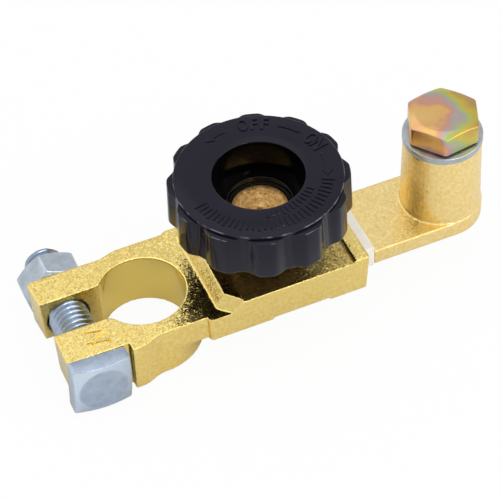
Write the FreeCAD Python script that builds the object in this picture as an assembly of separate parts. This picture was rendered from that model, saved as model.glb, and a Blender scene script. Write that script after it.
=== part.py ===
"""Battery terminal disconnect switch: a post clamp whose switch body carries a screw-down knob.

The clamp grips the battery post. A cable arm lies inside the switch body's open-bottomed tray,
wrapped in an insulator, and ends in a tapered cable post. The knob's brass stud screws through the
arm. Screwed down, its contact washer lands on the milled seat of the body and joins the two.

All lengths are in millimetres. X runs from the clamp to the cable post and Z is up. The origin is on
the axis of the battery post's bore, in the plane of the clamp's underside.
"""
import FreeCAD, Part
import math
import os

# Clamp: bore, ring, ears and the gap between them
post_bore_radius = 8.5
clamp_height = 12.0
ring_wall = 3.2
ring_rear_bulge = 0.6
ear_reach = 19.5
ear_thickness = 7.0
ear_lift = 2.0
rear_ear_slant = 0.5
gap_width_top = 8.4
gap_width_bottom = 8.0
gap_offset = 0.6
gap_lip_radius = 2.5
front_ear_corner_radius = 0.8
rear_ear_corner_radius = 0.9
shoulder_stand = 2.0
shoulder_flat = 0.9
draft_slope = 0.035

# Clamp bolt and nut: an M8 square-head bolt across the ears
clamp_bolt_from_end = 5.5
clamp_bolt_height = 6.2
clamp_bolt_radius = 4.0
clamp_bolt_hole_play = 0.3
clamp_head_width = 11.4
clamp_head_height = 4.0
clamp_head_turn = 3.0
clamp_head_to_shoulder = 1.3
clamp_nut_width = 12.0
clamp_nut_height = 5.8
clamp_nut_turn = 12.0
clamp_bolt_overhang = 4.0
chamfer_circle_share = 0.95
chamfer_angle = 30.0
bolt_tip_share = 0.2

# Tray: the open-bottomed box of the switch body, with its milled seat
tray_step = 0.2
tray_width = 25.6
tray_end_lean = 0.5
tray_corner_radius = 0.8
tray_end_corner_radius = 0.4
bore_to_cavity = 5.4
cavity_to_stud = 11.3
stud_to_tray_end = 17.2
platform_rise = 2.7
riser_setback = 2.6
riser_run = 1.9
platform_corner_cut = 2.4
seat_depth = 0.5
rib_width = 2.7
end_bar_width = 3.2
top_plate = 2.7

# Peened lips that hold the bottom plate, and the marks that peening leaves outside
lip_height = 0.7
lip_reach = 1.4
lip_length = 9.8
peen_length = 11.3
peen_end_setback = 9.0
peen_height = 0.65
peen_width = 1.6
witness_notch_radius = 0.8
witness_notch_drop = 0.2

# Cable arm: plate, screw boss, tapered cable post
arm_thickness = 3.7
arm_boss_radius = 7.2
arm_boss_to_side = 0.3
arm_shoulder = 0.9
arm_reach = 21.6
arm_inner_corner_radius = 2.0
arm_boss_drop = 3.7
post_base_radius = 8.1
post_top_radius = 7.75
post_height = 16.3
post_root_radius = 0.25
arm_edge_radius = 0.5

# Cable post bolt and washer: an M8 hexagon bolt, 13 mm across flats
post_bolt_radius = 4.0
post_bolt_length = 16.0
post_bolt_hole_spare = 1.2
post_head_width = 12.9
post_head_height = 5.3
post_head_turn = 7.9
post_head_chamfer_angle = 14.0
post_washer_radius = 7.9
post_washer_height = 1.5
post_washer_play = 0.2

# Insulator round the arm, and the insulating plate under it
insulator_top_wall = 1.2
insulator_side_wall = 0.95
insulator_end_wall = 1.2
insulator_overhang = 3.1
insulator_round = 0.6
insulator_collar_wall = 0.85
insulator_spigot = 1.0
collar_below_seat = 0.3
bottom_plate_thickness = 1.0

# Contact stud, its washer and the knob moulded on it
thread_radius = 5.0
thread_pitch = 1.5
turns_to_close = 2.0
stud_tip_lift = 5.0
stud_tip_chamfer = 0.8
stud_contact_width = 2.25
stud_collar_height = 3.9
stud_hex_width = 13.0
stud_hex_height = 1.3
stud_end_radius = 5.6
stud_end_sink = 0.3
contact_washer_height = 1.5
contact_washer_play = 0.1

knob_height = 9.4
knob_lobe_radius = 17.7
knob_lobe_draft = 0.3
knob_disc_radius = 16.7
knob_lobe_count = 12
knob_lobe_top_half_angle = 6.0
knob_lobe_base_half_angle = 9.5
knob_lobe_phase = 11.5
knob_lobe_drop = 0.7
knob_top_round = 0.7
knob_recess_radius = 8.85
knob_recess_taper = 0.35
knob_hub_radius = 10.9
knob_hub_drop = 0.8
knob_hub_floor = 2.2
knob_skirt_wall = 2.1
knob_top_wall = 2.2
knob_rib_count = 6
knob_rib_width = 1.6
knob_ring_radius = 7.0
knob_ring_height = 0.35

# Clearances
running_clearance = 0.05
seated_clearance = 0.05
contact_clearance = 0.03
stud_to_collar = 0.45

# Heights of the levels, from the clamp's underside up
platform_top = clamp_height + platform_rise
seat_level = platform_top - seat_depth
cavity_top = seat_level - top_plate
insulator_top = cavity_top - seated_clearance
arm_top = insulator_top - insulator_top_wall - seated_clearance
arm_bottom = arm_top - arm_thickness
tray_bottom = arm_bottom - lip_height
plate_top = arm_bottom + bottom_plate_thickness
boss_bottom = arm_bottom - arm_boss_drop
post_top = arm_top + post_height
post_washer_top = post_top + post_washer_height
stud_travel = thread_pitch * turns_to_close
contact_washer_bottom = seat_level + stud_travel + contact_clearance
contact_washer_top = contact_washer_bottom + contact_washer_height
hub_bottom = contact_washer_top + stud_collar_height
knob_bottom = hub_bottom + knob_hub_drop
knob_top = knob_bottom + knob_height
recess_floor = hub_bottom + knob_hub_floor

# Places along the length
ring_radius = post_bore_radius + ring_wall
ear_face = gap_width_top / 2 + ear_thickness
bolt_x = clamp_bolt_from_end - ear_reach
bolt_z = clamp_bolt_height
shoulder_x = bolt_x + clamp_head_width / 2 + clamp_head_to_shoulder
shoulder_face = ear_face + shoulder_stand
tray_start = post_bore_radius + tray_step
cavity_start = post_bore_radius + bore_to_cavity
stud_x = cavity_start + cavity_to_stud
tray_end = stud_x + stud_to_tray_end
post_x = tray_end + arm_reach
insulator_end = tray_end + insulator_overhang
tongue_end = insulator_end + seated_clearance
peen_end = tray_end - peen_end_setback

# Half widths across the tray
tongue_half = arm_boss_radius + arm_boss_to_side
arm_half = tongue_half + arm_shoulder
insulator_half = tongue_half + seated_clearance + insulator_side_wall
cavity_half = insulator_half + seated_clearance
tray_half = tray_width / 2

# Radii round the stud
stud_hole_radius = thread_radius + running_clearance
collar_bore_radius = thread_radius + stud_to_collar
collar_radius = collar_bore_radius + insulator_collar_wall
body_hole_radius = collar_radius + seated_clearance
stud_collar_radius = body_hole_radius + stud_contact_width

MARGIN = 1.0
SAME_PLACE = 0.01
UP = FreeCAD.Vector(0, 0, 1)
REARWARD = FreeCAD.Vector(0, 1, 0)


def point(x, y, z):
    return FreeCAD.Vector(x, y, z)


def box(low, high):
    """A box from its lowest corner to its highest."""
    size = [top - bottom for bottom, top in zip(low, high)]
    return Part.makeBox(*size, point(*low))


def upright(radius, low, high, x=0.0, y=0.0):
    """A cylinder along Z between two heights."""
    return Part.makeCylinder(radius, high - low, point(x, y, low), UP)


def polygon_wire(corners):
    return Part.makePolygon([point(*corner) for corner in list(corners) + [corners[0]]])


def prism(corners, direction):
    """A flat outline of straight sides, pushed along a direction."""
    return Part.Face(polygon_wire(corners)).extrude(point(*direction))


def flat_sided(lower, upper):
    """A solid with flat sides between two level outlines of as many corners."""
    faces = [Part.Face(polygon_wire(lower)), Part.Face(polygon_wire(upper))]
    for index in range(len(lower)):
        side = [lower[index - 1], lower[index], upper[index], upper[index - 1]]
        faces.append(Part.Face(polygon_wire(side)))
    skin = Part.makeCompound(faces)
    skin.sewShape()
    solid = Part.Solid(skin.Shells[0])
    if solid.Volume < 0:
        solid.reverse()
    return solid


def revolve_profile(corners, x=0.0, y=0.0):
    """A solid of revolution about a vertical axis from (radius, height) corners."""
    wire = polygon_wire([(radius, 0.0, height) for radius, height in corners])
    solid = Part.Face(wire).revolve(point(0, 0, 0), UP, 360)
    solid.translate(point(x, y, 0))
    return solid


def edges_where(shape, test):
    """The edges whose bounding box centre passes the test."""
    return [edge for edge in shape.Edges if test(edge.BoundBox)]


def s_bend(start, end, height):
    """Two equal arcs that leave start and reach end parallel to X."""
    (x0, y0), (x1, y1) = start, end
    across = y1 - y0
    along = x1 - x0
    radius = (along ** 2 + across ** 2) / (4 * abs(across))
    half_turn = math.asin(abs(along) / 2 / radius) / 2
    reach = math.copysign(radius * math.sin(half_turn), along)
    rise = math.copysign(radius * (1 - math.cos(half_turn)), across)
    middle = point((x0 + x1) / 2, (y0 + y1) / 2, height)
    first = Part.Arc(point(x0, y0, height), point(x0 + reach, y0 + rise, height), middle)
    second = Part.Arc(middle, point(x1 - reach, y1 - rise, height), point(x1, y1, height))
    return [first.toShape(), second.toShape()]


def line(start, end, height):
    return Part.LineSegment(point(*start, height), point(*end, height)).toShape()


def clamp_outline(height, below_tray):
    """The clamp seen from above, drawn in by the casting's draft at this height.

    Below the tray the ring closes round the bore. Above it the ring runs on into the tray.
    """
    inset = draft_slope * (clamp_height - height)
    end = inset - ear_reach
    ring = ring_radius - inset
    rear_ring = ring if below_tray else ring + ring_rear_bulge
    shoulder = -(shoulder_face - inset)
    bend_start = shoulder_x + shoulder_flat
    gap_rear = gap_width_top / 2 + gap_offset
    rear_corner = (end - rear_ear_slant, ear_face)
    edges = [line((end, -ear_face), (end, gap_rear), height)]
    edges.append(line((end, gap_rear), rear_corner, height))
    edges.append(line(rear_corner, (bend_start, ear_face), height))
    edges += s_bend((bend_start, ear_face), (0.0, rear_ring), height)
    if below_tray:
        ring_side = point(ring, 0, height)
        ring_arc = Part.Arc(point(0, ring, height), ring_side, point(0, -ring, height))
        edges.append(ring_arc.toShape())
    else:
        inside_tray = tray_start + MARGIN
        edges.append(line((0.0, rear_ring), (inside_tray, rear_ring), height))
        edges.append(line((inside_tray, rear_ring), (inside_tray, -ring), height))
        edges.append(line((inside_tray, -ring), (0.0, -ring), height))
    edges += s_bend((0.0, -ring), (bend_start, shoulder), height)
    edges.append(line((bend_start, shoulder), (shoulder_x, shoulder), height))
    edges.append(line((shoulder_x, shoulder), (shoulder_x, -ear_face), height))
    edges.append(line((shoulder_x, -ear_face), (end, -ear_face), height))
    return Part.Wire(edges)


def clamp_block():
    """Ring and ears with draft, before the bore and the gap are cut."""
    lower = Part.makeLoft([clamp_outline(0.0, True), clamp_outline(tray_bottom, True)], True, True)
    upper_wires = [clamp_outline(tray_bottom, False), clamp_outline(clamp_height, False)]
    upper = Part.makeLoft(upper_wires, True, True)
    slope_start = shoulder_x - ear_lift
    under_ears = [
        (-ear_reach - 2 * MARGIN, -shoulder_face, -MARGIN),
        (-ear_reach - 2 * MARGIN, -shoulder_face, ear_lift),
        (slope_start, -shoulder_face, ear_lift),
        (shoulder_x, -shoulder_face, 0.0),
        (shoulder_x, -shoulder_face, -MARGIN),
    ]
    block = lower.fuse(upper).cut(prism(under_ears, (0, 2 * shoulder_face, 0)))
    return block.removeSplitter()


def tray_half_at(height):
    """Half the tray's width at this height: its sides are drawn in towards the bottom."""
    return tray_half - draft_slope * (clamp_height - height)


def tray_end_at(height):
    return tray_end - tray_end_lean * (platform_top - height) / (platform_top - tray_bottom)


def tray_outline(height):
    left = tray_start + draft_slope * (clamp_height - height)
    right = tray_end_at(height)
    side = tray_half_at(height)
    return [(left, -side, height), (right, -side, height), (right, side, height), (left, side, height)]


def platform_outline(height, inset):
    """The raised platform's outline, with its two corners next to the clamp cut off."""
    left = tray_start + riser_setback + inset
    right = tray_end_at(height)
    side = tray_half_at(height)
    cut = platform_corner_cut + inset * (math.sqrt(2) - 1)
    return [
        (left, cut - side, height),
        (left + cut, -side, height),
        (right, -side, height),
        (right, side, height),
        (left + cut, side, height),
        (left, side - cut, height),
    ]


def tray_block():
    """The tray's box with draft, and the raised platform with its sloped riser and cut corners."""
    tray = flat_sided(tray_outline(tray_bottom), tray_outline(clamp_height))
    platform = flat_sided(
        platform_outline(clamp_height, 0.0), platform_outline(platform_top, riser_run))
    block = tray.fuse(platform).removeSplitter()
    clamp_corners = edges_where(
        block, lambda bounds: bounds.ZLength > MARGIN and bounds.XMax < tray_start + MARGIN)
    block = block.makeFillet(tray_corner_radius, clamp_corners)
    end_corners = edges_where(
        block, lambda bounds: bounds.ZLength > MARGIN and bounds.XMin > tray_end - MARGIN)
    return block.makeFillet(tray_end_corner_radius, end_corners)


def peened_lips(side):
    """One lip pressed in under the bottom plate from the tray wall on this side."""
    inner = side * cavity_half
    tip = side * (cavity_half - lip_reach)
    nose = side * (cavity_half - lip_reach + lip_height / 2)
    under_plate = arm_bottom - seated_clearance
    lip_start = peen_end - (peen_length + lip_length) / 2
    corners = [
        (lip_start, inner + side * MARGIN, tray_bottom),
        (lip_start, nose, tray_bottom),
        (lip_start, tip, (tray_bottom + under_plate) / 2),
        (lip_start, nose, under_plate),
        (lip_start, inner + side * MARGIN, under_plate),
    ]
    return prism(corners, (lip_length, 0, 0))


def peen_mark(side):
    """The slanted flat that peening leaves on the wall's outer lower edge, and its end notch."""
    outer = side * (tray_half + MARGIN)
    inner = side * (tray_half - peen_width)
    mark_start = peen_end - peen_length
    slope = peen_height / peen_width
    corners = [
        (mark_start, outer, tray_bottom - MARGIN),
        (mark_start, outer, tray_bottom + peen_height + slope * MARGIN),
        (mark_start, inner, tray_bottom),
        (mark_start, inner, tray_bottom - MARGIN),
    ]
    mark = prism(corners, (peen_length, 0, 0))
    notch_centre = point(peen_end, inner, tray_bottom - witness_notch_drop)
    notch = Part.makeCylinder(witness_notch_radius, peen_width + MARGIN, notch_centre, REARWARD * side)
    return mark.fuse(notch)


def gap_cutter():
    """The slot between the ears, a little wider at the top than at the bottom."""
    slope = (gap_width_top - gap_width_bottom) / 2 / clamp_height
    low = gap_width_bottom / 2 - slope * MARGIN
    high = gap_width_top / 2 + slope * MARGIN
    start = -ear_reach - MARGIN
    corners = [
        (start, gap_offset - low, -MARGIN),
        (start, gap_offset + low, -MARGIN),
        (start, gap_offset + high, clamp_height + MARGIN),
        (start, gap_offset - high, clamp_height + MARGIN),
    ]
    return prism(corners, (-start, 0, 0))


def make_switch_body():
    body = clamp_block().fuse(tray_block())
    seat_start = tray_start + riser_setback + riser_run + rib_width
    seat = box(
        (seat_start, -tray_half - MARGIN, seat_level),
        (tray_end - end_bar_width, tray_half + MARGIN, platform_top + MARGIN))
    body = body.cut(seat)
    cavity = box(
        (cavity_start, -cavity_half, tray_bottom - MARGIN),
        (tray_end + MARGIN, cavity_half, cavity_top))
    end_corners = edges_where(
        cavity, lambda bounds: bounds.ZLength > MARGIN and bounds.XMax < stud_x)
    cavity = cavity.makeFillet(arm_inner_corner_radius + insulator_end_wall, end_corners)
    body = body.cut(cavity)
    for side in (-1, 1):
        body = body.cut(peen_mark(side)).fuse(peened_lips(side))
    body = body.cut(upright(body_hole_radius, cavity_top - MARGIN, platform_top + MARGIN, stud_x))
    body = body.cut(gap_cutter())
    body = body.cut(upright(post_bore_radius, -MARGIN, clamp_height + MARGIN))
    body = round_clamp_edges(body.removeSplitter())
    bolt_hole = Part.makeCylinder(
        clamp_bolt_radius + clamp_bolt_hole_play,
        2 * shoulder_face,
        point(bolt_x, -shoulder_face, bolt_z),
        REARWARD)
    return body.cut(bolt_hole)


def round_clamp_edges(body):
    """The lips where the gap opens into the bore, and the ears' ends."""
    def upright_edge(bounds):
        return bounds.ZLength > clamp_height / 2

    gap_rear = gap_width_top / 2 + gap_offset
    lips = edges_where(body, lambda bounds: upright_edge(bounds)
                       and -post_bore_radius < bounds.XMin < -post_bore_radius / 2
                       and abs(bounds.Center.y) < gap_rear + SAME_PLACE)
    body = body.makeFillet(gap_lip_radius, lips)
    for side, radius in ((-1, front_ear_corner_radius), (1, rear_ear_corner_radius)):
        corner = edges_where(body, lambda bounds: bounds.ZLength > MARGIN
                             and bounds.XMin < MARGIN - ear_reach
                             and side * bounds.Center.y > ear_face - MARGIN)
        body = body.makeFillet(radius, corner)
    return body


def arm_plan(height):
    """The arm's outline: a narrower tongue with rounded corners, and a half circle round the post."""
    start = cavity_start + seated_clearance + insulator_end_wall + seated_clearance
    radius = arm_inner_corner_radius
    slant = radius * (1 - math.sqrt(0.5))
    tip = point(post_x + arm_half, 0, height)
    end_arc = Part.Arc(point(post_x, -arm_half, height), tip, point(post_x, arm_half, height))
    rear_arc = Part.Arc(
        point(start + radius, tongue_half, height),
        point(start + slant, tongue_half - slant, height),
        point(start, tongue_half - radius, height))
    front_arc = Part.Arc(
        point(start, radius - tongue_half, height),
        point(start + slant, slant - tongue_half, height),
        point(start + radius, -tongue_half, height))
    return Part.Wire([
        line((start + radius, -tongue_half), (tongue_end, -tongue_half), height),
        line((tongue_end, -tongue_half), (tongue_end, -arm_half), height),
        line((tongue_end, -arm_half), (post_x, -arm_half), height),
        end_arc.toShape(),
        line((post_x, arm_half), (tongue_end, arm_half), height),
        line((tongue_end, arm_half), (tongue_end, tongue_half), height),
        line((tongue_end, tongue_half), (start + radius, tongue_half), height),
        rear_arc.toShape(),
        line((start, tongue_half - radius), (start, radius - tongue_half), height),
        front_arc.toShape(),
    ])


def cable_post():
    """The tapered post with its flared root, as a turned shape."""
    root_x = post_base_radius + post_root_radius
    root_z = arm_top + post_root_radius
    slant = post_root_radius * math.sqrt(0.5)
    flare = Part.Arc(
        point(root_x, 0, arm_top),
        point(root_x - slant, 0, root_z - slant),
        point(post_base_radius, 0, root_z))
    foot = arm_top - MARGIN
    sides = [(post_base_radius, root_z), (post_top_radius, post_top), (0.0, post_top), (0.0, foot)]
    sides += [(root_x, foot), (root_x, arm_top)]
    corners = [point(radius, 0, height) for radius, height in sides]
    edges = [Part.LineSegment(*pair).toShape() for pair in zip(corners, corners[1:])]
    turned = Part.Face(Part.Wire(edges + [flare.toShape()])).revolve(point(0, 0, 0), UP, 360)
    turned.translate(point(post_x, 0, 0))
    return turned


def make_cable_arm():
    plan = Part.Face(arm_plan(arm_bottom))
    plate = plan.extrude(point(0, 0, arm_thickness))
    lower_edges = edges_where(plate, lambda bounds: bounds.ZMax < arm_bottom + SAME_PLACE
                              and bounds.XMax > post_x - SAME_PLACE)
    plate = plate.makeFillet(arm_edge_radius, lower_edges)
    rebate = box(
        (0.0, -arm_half - MARGIN, arm_bottom - MARGIN),
        (tray_end - tray_end_lean, arm_half + MARGIN, plate_top + seated_clearance))
    plate = plate.cut(rebate)
    boss = upright(arm_boss_radius, boss_bottom, arm_top - MARGIN, stud_x)
    arm = plate.fuse(boss).fuse(cable_post()).removeSplitter()
    arm = arm.cut(upright(stud_hole_radius, boss_bottom - MARGIN, arm_top + MARGIN, stud_x))
    spigot_seat = upright(
        collar_radius + seated_clearance, arm_top - insulator_spigot, arm_top + MARGIN, stud_x)
    arm = arm.cut(spigot_seat)
    bolt_tip = post_washer_top - post_bolt_length
    bolt_hole = upright(
        post_bolt_radius + running_clearance, bolt_tip - post_bolt_hole_spare, post_top + MARGIN, post_x)
    return arm.cut(bolt_hole)


def make_insulator():
    """A channel over the arm's inner end, with a collar that lines the body's hole."""
    start = cavity_start + seated_clearance
    channel = box((start, -insulator_half, arm_bottom), (insulator_end, insulator_half, insulator_top))
    end_corners = edges_where(
        channel, lambda bounds: bounds.ZLength > MARGIN and bounds.XMax < stud_x)
    outer_radius = arm_inner_corner_radius + insulator_end_wall - seated_clearance
    channel = channel.makeFillet(outer_radius, end_corners)
    arm_room_start = start + insulator_end_wall
    arm_room_half = tongue_half + seated_clearance
    arm_room = box(
        (arm_room_start, -arm_room_half, arm_bottom - MARGIN),
        (insulator_end + MARGIN, arm_room_half, arm_top + seated_clearance))
    room_corners = edges_where(
        arm_room, lambda bounds: bounds.ZLength > MARGIN and bounds.XMax < stud_x)
    arm_room = arm_room.makeFillet(arm_inner_corner_radius, room_corners)
    plate_room = box(
        (start - MARGIN, -insulator_half - MARGIN, arm_bottom - MARGIN),
        (tray_end - tray_end_lean, insulator_half + MARGIN, plate_top + seated_clearance))
    collar = upright(collar_radius, arm_top - insulator_spigot + seated_clearance,
                     seat_level - collar_below_seat, stud_x)
    shape = channel.cut(arm_room).cut(plate_room).fuse(collar)
    shape = shape.cut(upright(collar_bore_radius, arm_bottom, platform_top, stud_x))
    shape = shape.removeSplitter()
    outside = edges_where(shape, lambda bounds: bounds.XMax > insulator_end - SAME_PLACE
                          and bounds.XLength > MARGIN
                          and abs(abs(bounds.Center.y) - insulator_half) < SAME_PLACE
                          and abs(bounds.Center.z - insulator_top) < SAME_PLACE)
    return shape.makeFillet(insulator_round, outside)


def make_bottom_plate():
    """The insulating plate under the arm, held by the peened lips."""
    start = cavity_start + seated_clearance
    end = tray_end - tray_end_lean - seated_clearance
    half = cavity_half - seated_clearance
    plate = box((start, -half, arm_bottom), (end, half, plate_top))
    corners = edges_where(plate, lambda bounds: bounds.ZLength > SAME_PLACE and bounds.XMax < stud_x)
    plate = plate.makeFillet(arm_inner_corner_radius + insulator_end_wall, corners)
    return plate.cut(upright(arm_boss_radius + seated_clearance, boss_bottom, arm_top, stud_x))


def hexagon(width, low, high, x, y=0.0, turn=0.0):
    """A hexagonal prism along Z, given across its flats, with one corner turned from +X."""
    corner_radius = width / math.sqrt(3)
    corners = []
    for index in range(6):
        angle = math.radians(60 * index + turn)
        corners.append((x + corner_radius * math.cos(angle), y + corner_radius * math.sin(angle), low))
    return prism(corners, (0, 0, high - low))


def chamfer_cone(flat_radius, low, high, x, angle, both_ends):
    """The turned blank a nut or bolt head is cut from, chamfered at its ends."""
    wide = 2 * flat_radius
    drop = (wide - flat_radius) * math.tan(math.radians(angle))
    profile = [(0.0, low)]
    if both_ends:
        profile += [(flat_radius, low), (wide, low + drop)]
    else:
        profile += [(wide, low)]
    profile += [(wide, high - drop), (flat_radius, high), (0.0, high)]
    return revolve_profile(profile, x)


def lay_along_y(shape, y):
    """Turns a fastener drawn along +Z at the origin so that it points to +Y from this Y."""
    shape.rotate(point(0, 0, 0), point(1, 0, 0), -90)
    shape.translate(point(bolt_x, y, bolt_z))
    return shape


def make_clamp_bolt():
    """Square-head bolt, drawn head down: the head below zero, the shank above."""
    half = clamp_head_width / 2
    head = box((-half, -half, -clamp_head_height), (half, half, 0.0))
    blank_radius = half * chamfer_circle_share
    rise = blank_radius * math.tan(math.radians(chamfer_angle))
    blank = revolve_profile([
        (0.0, 0.0),
        (2 * blank_radius, 0.0),
        (2 * blank_radius, rise - clamp_head_height),
        (blank_radius, -clamp_head_height),
        (0.0, -clamp_head_height),
    ])
    tip = 2 * ear_face + clamp_nut_height + clamp_bolt_overhang
    lead = thread_lead(clamp_bolt_radius)
    shank = revolve_profile([
        (0.0, -MARGIN),
        (clamp_bolt_radius, -MARGIN),
        (clamp_bolt_radius, tip - lead),
        (clamp_bolt_radius - lead, tip),
        (0.0, tip),
    ])
    head.rotate(point(0, 0, 0), UP, clamp_head_turn)
    return lay_along_y(head.common(blank).fuse(shank).removeSplitter(), -ear_face)


def thread_lead(radius):
    """The chamfer at a bolt's tip."""
    return radius * bolt_tip_share


def make_clamp_nut():
    nut = hexagon(clamp_nut_width, 0.0, clamp_nut_height, 0.0, 0.0, -90.0 - clamp_nut_turn)
    flat_radius = clamp_nut_width / 2 * chamfer_circle_share
    nut = nut.common(chamfer_cone(flat_radius, 0.0, clamp_nut_height, 0.0, chamfer_angle, True))
    nut = nut.cut(upright(clamp_bolt_radius + running_clearance, -MARGIN, clamp_nut_height + MARGIN))
    return lay_along_y(nut, ear_face)


def make_post_bolt():
    top = post_washer_top + post_head_height
    head = hexagon(post_head_width, post_washer_top, top, post_x, 0.0, post_head_turn)
    flat_radius = post_head_width / 2 * chamfer_circle_share
    blank = chamfer_cone(flat_radius, post_washer_top, top, post_x, post_head_chamfer_angle, False)
    head = head.common(blank)
    tip = post_washer_top - post_bolt_length
    lead = thread_lead(post_bolt_radius)
    shank = revolve_profile([
        (0.0, tip),
        (post_bolt_radius - lead, tip),
        (post_bolt_radius, tip + lead),
        (post_bolt_radius, post_washer_top + MARGIN),
        (0.0, post_washer_top + MARGIN),
    ], post_x)
    return head.fuse(shank).removeSplitter()


def make_post_washer():
    outer = upright(post_washer_radius, post_top, post_washer_top, post_x)
    hole_radius = post_bolt_radius + post_washer_play
    hole = upright(hole_radius, post_top - MARGIN, post_washer_top + MARGIN, post_x)
    return outer.cut(hole)


def make_contact_stud():
    """The brass stud: thread, contact collar, hexagon moulded into the knob, and its bare end."""
    end = recess_floor - stud_end_sink
    turned = revolve_profile([
        (0.0, stud_tip_lift),
        (thread_radius - stud_tip_chamfer, stud_tip_lift),
        (thread_radius, stud_tip_lift + stud_tip_chamfer),
        (thread_radius, contact_washer_top),
        (stud_collar_radius, contact_washer_top),
        (stud_collar_radius, hub_bottom),
        (stud_end_radius, hub_bottom),
        (stud_end_radius, end),
        (0.0, end),
    ], stud_x)
    hexagonal = hexagon(stud_hex_width, hub_bottom, hub_bottom + stud_hex_height, stud_x)
    return turned.fuse(hexagonal).removeSplitter()


def make_contact_washer():
    outer = upright(stud_collar_radius, contact_washer_bottom, contact_washer_top, stud_x)
    hole_radius = thread_radius + contact_washer_play
    hole = upright(hole_radius, contact_washer_bottom - MARGIN, contact_washer_top + MARGIN, stud_x)
    return outer.cut(hole)


def on_knob(radius, angle, height):
    """A point round the knob's axis, with the angle in degrees from +X."""
    turn = math.radians(angle)
    return point(stud_x + radius * math.cos(turn), radius * math.sin(turn), height)


def knob_lobe_prism(centre, top):
    """The sector of one lobe: its flanks run from the disc's edge to the crest, and on past both."""
    foot = knob_lobe_base_half_angle
    crest = knob_lobe_top_half_angle
    corners = []
    for side in (-1, 1):
        low = on_knob(knob_disc_radius, centre + side * foot, knob_bottom)
        high = on_knob(knob_lobe_radius, centre + side * crest, knob_bottom)
        flank = high - low
        corners.append([low - flank, high + flank])
    ring = [corners[0][0], corners[0][1], corners[1][1], corners[1][0]]
    return prism([tuple(corner) for corner in ring], (0, 0, top - knob_bottom))


def knob_lobes(top):
    """The lobes round the disc, drafted towards the top."""
    drafted = Part.makeCone(
        knob_lobe_radius,
        knob_lobe_radius - knob_lobe_draft,
        top - knob_bottom,
        point(stud_x, 0, knob_bottom),
        UP)
    centres = [knob_lobe_phase + 360 / knob_lobe_count * index for index in range(knob_lobe_count)]
    lobes = Part.makeCompound([knob_lobe_prism(centre, top) for centre in centres])
    return lobes.common(drafted)


def make_knob():
    lobes = knob_lobes(knob_top - knob_lobe_drop)
    disc = upright(knob_disc_radius, knob_bottom, knob_top, stud_x)
    rim = edges_where(disc, lambda bounds: bounds.ZMin > knob_top - SAME_PLACE)
    disc = disc.makeFillet(knob_top_round, rim)
    hub = upright(knob_hub_radius, hub_bottom, knob_bottom + MARGIN, stud_x)
    knob = lobes.fuse(disc).cut(knob_hollow()).fuse(hub).removeSplitter()
    recess = Part.makeCone(
        knob_recess_radius - knob_recess_taper,
        knob_recess_radius,
        knob_top - recess_floor,
        point(stud_x, 0, recess_floor),
        UP)
    knob = knob.cut(recess)
    ring = upright(knob_ring_radius, recess_floor - MARGIN, recess_floor + knob_ring_height, stud_x)
    stud_end_hole = upright(
        stud_end_radius + seated_clearance, hub_bottom - MARGIN, recess_floor + MARGIN, stud_x)
    hexagonal_hole = hexagon(
        stud_hex_width + 2 * seated_clearance, hub_bottom - MARGIN, hub_bottom + stud_hex_height, stud_x)
    return knob.fuse(ring).cut(stud_end_hole).cut(hexagonal_hole).removeSplitter()


def knob_hollow():
    """The ring-shaped hollow under the grip, crossed by radial ribs."""
    ceiling = knob_top - knob_top_wall
    outer = upright(knob_disc_radius - knob_skirt_wall, knob_bottom - MARGIN, ceiling, stud_x)
    hollow = outer.cut(upright(knob_hub_radius, knob_bottom - MARGIN, ceiling, stud_x))
    half = knob_rib_width / 2
    for index in range(knob_rib_count):
        rib = box((0.0, -half, knob_bottom - 2 * MARGIN), (knob_disc_radius, half, ceiling + MARGIN))
        rib.rotate(point(0, 0, 0), UP, 360 / knob_rib_count * index)
        rib.translate(point(stud_x, 0, 0))
        hollow = hollow.cut(rib)
    return hollow


PIECES = {
    "switch_body": make_switch_body,
    "cable_arm": make_cable_arm,
    "insulator": make_insulator,
    "bottom_plate": make_bottom_plate,
    "contact_stud": make_contact_stud,
    "contact_washer": make_contact_washer,
    "knob": make_knob,
    "clamp_bolt": make_clamp_bolt,
    "clamp_nut": make_clamp_nut,
    "post_bolt": make_post_bolt,
    "post_washer": make_post_washer,
}

os.makedirs("parts", exist_ok=True)
for name, make_piece in PIECES.items():
    piece = make_piece()
    piece.exportStep(os.path.join("parts", name + ".step"))
    print(name, piece.isValid(), len(piece.Solids), round(piece.Volume, 1))
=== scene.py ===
"""Looks of the battery terminal disconnect switch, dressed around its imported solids.

Lengths named here are in millimetres, as on the object. MM turns them into the scene's metres.
"""
import math

import bmesh
import bpy
from mathutils import Matrix, Vector


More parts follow.
